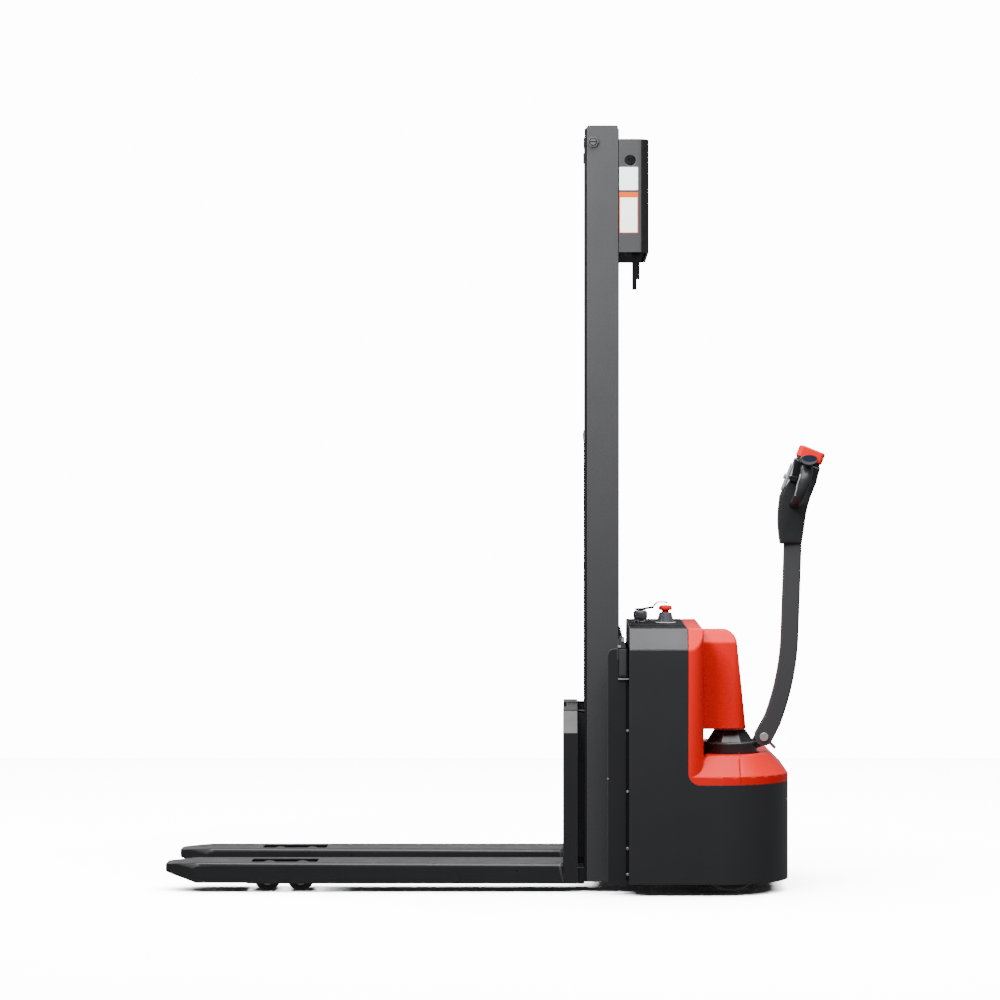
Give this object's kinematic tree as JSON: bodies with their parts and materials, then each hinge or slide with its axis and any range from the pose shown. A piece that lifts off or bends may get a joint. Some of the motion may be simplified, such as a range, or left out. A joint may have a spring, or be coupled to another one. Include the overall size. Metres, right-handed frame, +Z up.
{
  "type": "mini pallet stacker",
  "caption": "Walk-behind electric pallet stacker with a single mast, forks over base legs, a red and black body and a tiller that steers the drive wheel.",
  "frame": {"origin": "on the floor, under the middle of the object", "axes": "+Z up, forks towards -X, tiller towards +X, operator's left towards -Y"},
  "size_m": [1.9085, 0.792, 2.211],
  "materials": {
    "mast_paint": "satin powder coat",
    "frame_paint": "satin powder coat",
    "body_paint": "fine textured powder coat",
    "red_plastic": "moulded gloss",
    "black_plastic": "moulded satin",
    "grey_plastic": "moulded satin",
    "bright_steel": "zinc plated",
    "chain_steel": "oiled",
    "chromed_steel": "hard chrome",
    "cast_housing": "painted casting",
    "polyurethane": "cast polyurethane",
    "clear_guard": "clear sheet"
  },
  "bodies": {
    "chassis": {"left_leg": "frame_paint", "right_leg": "frame_paint", "load_wheel_axles": "bright_steel", "left_upright": "mast_paint", "right_upright": "mast_paint", "carriage_stop_bolts": "bright_steel", "base_beam": "mast_paint", "mast_head": "mast_paint", "mast_top_tie": "mast_paint", "limit_switch": "black_plastic", "mast_guard": "clear_guard", "lift_barrel": "mast_paint", "rear_chain": "chain_steel", "chassis_frame": "frame_paint", "body_shell": "body_paint", "top_cover": "body_paint", "dash_panel": "black_plastic", "key_switch": "bright_steel", "emergency_stop_base": "black_plastic", "rear_cover": "red_plastic", "rear_deck_cover": "red_plastic", "slewing_ring": "bright_steel", "batteries": "black_plastic", "hydraulic_unit": "cast_housing", "motor_controller": "black_plastic", "flange_fittings": "bright_steel"},
    "carriage": {"fork_carriage": "frame_paint", "left_fork": "frame_paint", "right_fork": "frame_paint", "roller_axles": "bright_steel", "front_chain": "chain_steel"},
    "lower_rollers": {"lower_mast_rollers": "bright_steel"},
    "upper_rollers": {"upper_mast_rollers": "bright_steel"},
    "piston": {"piston_rod": "chromed_steel", "sheave_yoke": "mast_paint", "chain_over_sheave": "chain_steel"},
    "sheave": {"chain_sheave": "bright_steel"},
    "steering": {"drive_gearbox": "cast_housing", "drive_motor": "cast_housing", "tiller_base": "frame_paint", "tiller_pins": "bright_steel"},
    "drive_wheel": {"drive_wheel_hub": "cast_housing", "drive_tyre": "polyurethane"},
    "tiller": {"tiller_arm": "frame_paint", "tiller_head": "black_plastic", "control_panel": "grey_plastic"},
    "throttle": {"throttle_paddles": "black_plastic"},
    "belly_button": {"belly_button": "red_plastic"},
    "lift_button": {"lift_button": "grey_plastic"},
    "lower_button": {"lower_button": "grey_plastic"},
    "horn_button": {"horn_button": "grey_plastic"},
    "key": {"key": "black_plastic"},
    "emergency_stop": {"emergency_stop_knob": "red_plastic"},
    "caster": {"caster_fork": "frame_paint"},
    "caster_wheel": {"caster_wheel": "polyurethane"},
    "left_front_load_wheel": {"left_front_load_wheel": "polyurethane"},
    "left_rear_load_wheel": {"left_rear_load_wheel": "polyurethane"},
    "right_front_load_wheel": {"right_front_load_wheel": "polyurethane"},
    "right_rear_load_wheel": {"right_rear_load_wheel": "polyurethane"}
  },
  "joints": [
    {"name": "carriage_lift", "type": "slide", "parent": "chassis", "child": "carriage", "axis": [0, 0, 1], "range_m": [0, 1.6], "deforming": ["front_chain"]},
    {"name": "piston_lift", "type": "slide", "parent": "chassis", "child": "piston", "axis": [0, 0, 1], "range_m": [0, 0.8], "deforming": ["rear_chain"]},
    {"name": "sheave_spin", "type": "hinge", "parent": "piston", "child": "sheave", "pos_m": [0.2997, 0, 1.3174], "axis": [0, 1, 0], "continuous": true},
    {"name": "upper_roller_spin", "type": "hinge", "parent": "carriage", "child": "upper_rollers", "pos_m": [0.3077, 0, 0.49], "axis": [0, 1, 0], "continuous": true},
    {"name": "lower_roller_spin", "type": "hinge", "parent": "carriage", "child": "lower_rollers", "pos_m": [0.3077, 0, 0.14], "axis": [0, 1, 0], "continuous": true},
    {"name": "steer", "type": "hinge", "parent": "chassis", "child": "steering", "pos_m": [0.6807, -0.2, 0.312], "axis": [0, 0, 1], "range_deg": [-90, 90]},
    {"name": "drive_wheel_spin", "type": "hinge", "parent": "steering", "child": "drive_wheel", "pos_m": [0.6807, -0.2, 0.11], "axis": [0, 1, 0], "continuous": true},
    {"name": "tiller_tilt", "type": "hinge", "parent": "steering", "child": "tiller", "pos_m": [0.7777, -0.2, 0.444], "axis": [0, 1, 0], "range_deg": [0, 68], "stiffness_Nm_per_rad": 25, "springref_deg": -57.3},
    {"name": "throttle_twist", "type": "hinge", "parent": "tiller", "child": "throttle", "pos_m": [0.86956, -0.2, 1.18949], "axis": [0, 1, 0], "range_deg": [-25, 25], "stiffness_Nm_per_rad": 0.6},
    {"name": "belly_button_press", "type": "slide", "parent": "tiller", "child": "belly_button", "axis": [-0.3746, 0, -0.9272], "range_m": [0, 0.008], "stiffness_N_per_m": 1200, "springref_m": -0.004},
    {"name": "lower_button_press", "type": "slide", "parent": "tiller", "child": "lower_button", "axis": [0.9296, 0, -0.3685], "range_m": [0, 0.003], "stiffness_N_per_m": 600, "springref_m": -0.002},
    {"name": "horn_button_press", "type": "slide", "parent": "tiller", "child": "horn_button", "axis": [0.9296, 0, -0.3685], "range_m": [0, 0.003], "stiffness_N_per_m": 600, "springref_m": -0.002},
    {"name": "lift_button_press", "type": "slide", "parent": "tiller", "child": "lift_button", "axis": [0.9296, 0, -0.3685], "range_m": [0, 0.003], "stiffness_N_per_m": 600, "springref_m": -0.002},
    {"name": "key_turn", "type": "hinge", "parent": "chassis", "child": "key", "pos_m": [0.4237, 0, 0.8024], "axis": [0, 0, 1], "range_deg": [0, 90]},
    {"name": "emergency_stop_press", "type": "slide", "parent": "chassis", "child": "emergency_stop", "axis": [0, 0, -1], "range_m": [0, 0.006]},
    {"name": "caster_swivel", "type": "hinge", "parent": "chassis", "child": "caster", "pos_m": [0.6927, 0.215, 0.148], "axis": [0, 0, 1], "continuous": true},
    {"name": "caster_spin", "type": "hinge", "parent": "caster", "child": "caster_wheel", "pos_m": [0.7287, 0.215, 0.062], "axis": [0, 1, 0], "continuous": true},
    {"name": "left_front_wheel_spin", "type": "hinge", "parent": "chassis", "child": "left_front_load_wheel", "pos_m": [-0.6593, -0.2, 0.04], "axis": [0, 1, 0], "continuous": true},
    {"name": "left_rear_wheel_spin", "type": "hinge", "parent": "chassis", "child": "left_rear_load_wheel", "pos_m": [-0.5633, -0.2, 0.04], "axis": [0, 1, 0], "continuous": true},
    {"name": "right_front_wheel_spin", "type": "hinge", "parent": "chassis", "child": "right_front_load_wheel", "pos_m": [-0.6593, 0.2, 0.04], "axis": [0, 1, 0], "continuous": true},
    {"name": "right_rear_wheel_spin", "type": "hinge", "parent": "chassis", "child": "right_rear_load_wheel", "pos_m": [-0.5633, 0.2, 0.04], "axis": [0, 1, 0], "continuous": true}
  ],
  "couplings": [
    {"joint": "piston_lift", "follows": "carriage_lift", "ratio": 0.5},
    {"joint": "sheave_spin", "follows": "carriage_lift", "rad_per_m": 12.5},
    {"joint": "upper_roller_spin", "follows": "carriage_lift", "rad_per_m": -26.596},
    {"joint": "lower_roller_spin", "follows": "carriage_lift", "rad_per_m": 26.596}
  ]
}
